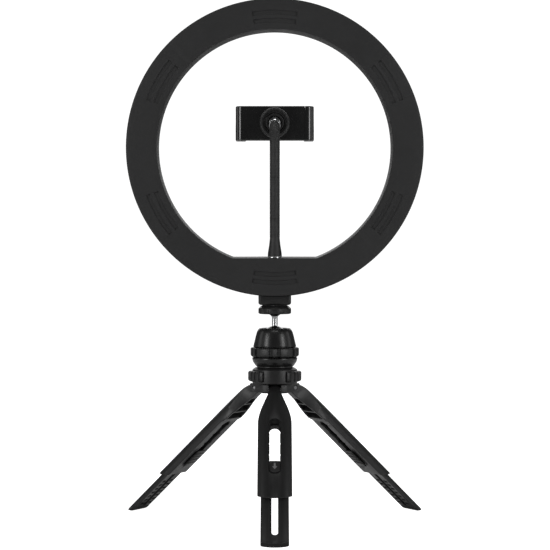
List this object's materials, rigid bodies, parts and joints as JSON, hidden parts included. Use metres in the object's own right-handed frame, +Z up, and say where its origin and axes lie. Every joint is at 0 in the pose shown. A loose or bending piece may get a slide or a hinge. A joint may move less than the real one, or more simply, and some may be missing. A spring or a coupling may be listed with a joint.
{
  "type": "ring light",
  "caption": "LED ring light on a folding mini tripod with a ball head, with a sprung phone clip on a gooseneck arm inside the ring.",
  "frame": {"origin": "on the floor, at the middle of the footprint of the box around the whole object", "axes": "+Z up, the ring's back faces -Y and its lit side faces +Y, +X to the right seen from behind"},
  "size_m": [0.2666, 0.2342, 0.4519],
  "materials": {
    "housing": "fine matte moulding grain",
    "diffuser": "milky satin",
    "white_plastic": "satin",
    "circuit_board": "solder mask",
    "brass": "turned",
    "chrome": "polished",
    "steel": "satin",
    "arm_sleeve": "ribbed satin rubber",
    "rubber": "matt",
    "gloss_black": "gloss",
    "satin_black": "satin with fine grain"
  },
  "bodies": {
    "hub": {"hub": "satin_black"},
    "collar": {"collar": "satin_black"},
    "head": {"head_base": "satin_black", "ball_housing": "satin_black", "ball_seat": "white_plastic", "base_bolt": "steel"},
    "lock_ring": {"lock_ring": "satin_black"},
    "ball": {"ball": "gloss_black"},
    "ring": {"ring_back_shell": "housing", "ring_diffuser": "diffuser", "led_board": "white_plastic", "driver_board": "circuit_board", "mount_block": "satin_black", "thread_insert": "brass", "usb_inlet": "steel", "block_screw_1": "steel", "block_screw_2": "steel", "mount_screw": "steel", "ball_stem": "chrome", "arm_anchor": "steel"},
    "thumb_wheel": {"thumb_wheel": "satin_black", "wheel_washer": "rubber"},
    "arm_low": {"gooseneck_lower": "arm_sleeve"},
    "arm_middle": {"gooseneck_middle": "arm_sleeve"},
    "arm_high": {"gooseneck_upper": "arm_sleeve", "arm_ferrule": "chrome", "clip_ball": "chrome"},
    "clip_swivel": {"clip_lock_nut": "satin_black"},
    "clip": {"clip_socket": "satin_black", "clip_back": "gloss_black", "clip_spring": "steel", "fixed_pad": "rubber", "back_pad": "rubber"},
    "jaw": {"clip_moving_jaw": "gloss_black", "guide_rod_1": "steel", "guide_rod_2": "steel", "moving_pad": "rubber"},
    "leg_1": {"leg_shell_1": "satin_black", "hinge_pin_1": "steel"},
    "extension_1": {"leg_extension_1": "satin_black", "rubber_foot_1": "rubber", "thumb_slider_1": "satin_black", "latch_spring_1": "steel"},
    "latch_1": {"latch_button_1": "satin_black"},
    "leg_2": {"leg_shell_2": "satin_black", "hinge_pin_2": "steel"},
    "extension_2": {"leg_extension_2": "satin_black", "rubber_foot_2": "rubber", "thumb_slider_2": "satin_black", "latch_spring_2": "steel"},
    "latch_2": {"latch_button_2": "satin_black"},
    "leg_3": {"leg_shell_3": "satin_black", "hinge_pin_3": "steel"},
    "extension_3": {"leg_extension_3": "satin_black", "rubber_foot_3": "rubber", "thumb_slider_3": "satin_black", "latch_spring_3": "steel"},
    "latch_3": {"latch_button_3": "satin_black"}
  },
  "joints": [
    {"name": "collar_turn", "type": "hinge", "parent": "hub", "child": "collar", "pos_m": [0, 0.03517, 0.1258], "axis": [0, 0, 1], "range_deg": [0, 40]},
    {"name": "head_pan", "type": "hinge", "parent": "hub", "child": "head", "pos_m": [0, 0.03517, 0.132], "axis": [0, 0, 1], "continuous": true},
    {"name": "lock_ring_turn", "type": "hinge", "parent": "head", "child": "lock_ring", "pos_m": [0, 0.03517, 0.1464], "axis": [0, 0, 1], "range_deg": [0, 90]},
    {"name": "ball_tilt_fore_aft", "type": "hinge", "parent": "head", "child": "ball", "pos_m": [0, 0.03517, 0.1575], "axis": [1, 0, 0], "range_deg": [-25, 25]},
    {"name": "ball_tilt_sideways", "type": "hinge", "parent": "ball", "child": "ring", "pos_m": [0, 0.03517, 0.1575], "axis": [0, 1, 0], "range_deg": [-25, 25]},
    {"name": "thumb_wheel_spin", "type": "hinge", "parent": "ring", "child": "thumb_wheel", "pos_m": [0, 0.03517, 0.1824], "axis": [0, 0, 1], "range_deg": [0, 360]},
    {"name": "arm_bend_low", "type": "hinge", "parent": "ring", "child": "arm_low", "pos_m": [0, 0.03717, 0.2335], "axis": [1, 0, 0], "range_deg": [-25, 25], "deforming": ["gooseneck_lower"]},
    {"name": "arm_bend_middle", "type": "hinge", "parent": "arm_low", "child": "arm_middle", "pos_m": [0, 0.03717, 0.262], "axis": [0, 1, 0], "range_deg": [-25, 25], "deforming": ["gooseneck_middle"]},
    {"name": "arm_bend_high", "type": "hinge", "parent": "arm_middle", "child": "arm_high", "pos_m": [0, 0.03717, 0.298], "axis": [1, 0, 0], "range_deg": [-25, 25], "deforming": ["gooseneck_upper"]},
    {"name": "clip_tilt", "type": "hinge", "parent": "arm_high", "child": "clip_swivel", "pos_m": [0, 0.05617, 0.3465], "axis": [1, 0, 0], "range_deg": [-4, 30]},
    {"name": "clip_roll", "type": "hinge", "parent": "clip_swivel", "child": "clip", "pos_m": [0, 0.05617, 0.3465], "axis": [0, 1, 0], "range_deg": [-90, 90]},
    {"name": "jaw_slide", "type": "slide", "parent": "clip", "child": "jaw", "axis": [1, 0, 0], "range_m": [0, 0.03], "stiffness_N_per_m": 60, "springref_m": -0.02, "deforming": ["clip_spring"]},
    {"name": "leg_fold_1", "type": "hinge", "parent": "hub", "child": "leg_1", "pos_m": [0, 0.02017, 0.1155], "axis": [1, 0, 0], "range_deg": [0, 47.5]},
    {"name": "extension_slide_1", "type": "slide", "parent": "leg_1", "child": "extension_1", "axis": [0, -0.7373, -0.6756], "range_m": [-0.039, 0]},
    {"name": "latch_press_1", "type": "slide", "parent": "extension_1", "child": "latch_1", "axis": [0, 0.6756, -0.7373], "range_m": [0, 0.0015], "stiffness_N_per_m": 400, "springref_m": -0.001, "deforming": ["latch_spring_1"]},
    {"name": "leg_fold_2", "type": "hinge", "parent": "hub", "child": "leg_2", "pos_m": [0.01299, 0.04267, 0.1155], "axis": [-0.5, 0.866, 0], "range_deg": [0, 47.5]},
    {"name": "extension_slide_2", "type": "slide", "parent": "leg_2", "child": "extension_2", "axis": [0.6385, 0.3686, -0.6756], "range_m": [-0.039, 0]},
    {"name": "latch_press_2", "type": "slide", "parent": "extension_2", "child": "latch_2", "axis": [-0.5851, -0.3378, -0.7373], "range_m": [0, 0.0015], "stiffness_N_per_m": 400, "springref_m": -0.001, "deforming": ["latch_spring_2"]},
    {"name": "leg_fold_3", "type": "hinge", "parent": "hub", "child": "leg_3", "pos_m": [-0.01299, 0.04267, 0.1155], "axis": [-0.5, -0.866, 0], "range_deg": [0, 47.5]},
    {"name": "extension_slide_3", "type": "slide", "parent": "leg_3", "child": "extension_3", "axis": [-0.6385, 0.3686, -0.6756], "range_m": [-0.039, 0]},
    {"name": "latch_press_3", "type": "slide", "parent": "extension_3", "child": "latch_3", "axis": [0.5851, -0.3378, -0.7373], "range_m": [0, 0.0015], "stiffness_N_per_m": 400, "springref_m": -0.001, "deforming": ["latch_spring_3"]}
  ]
}
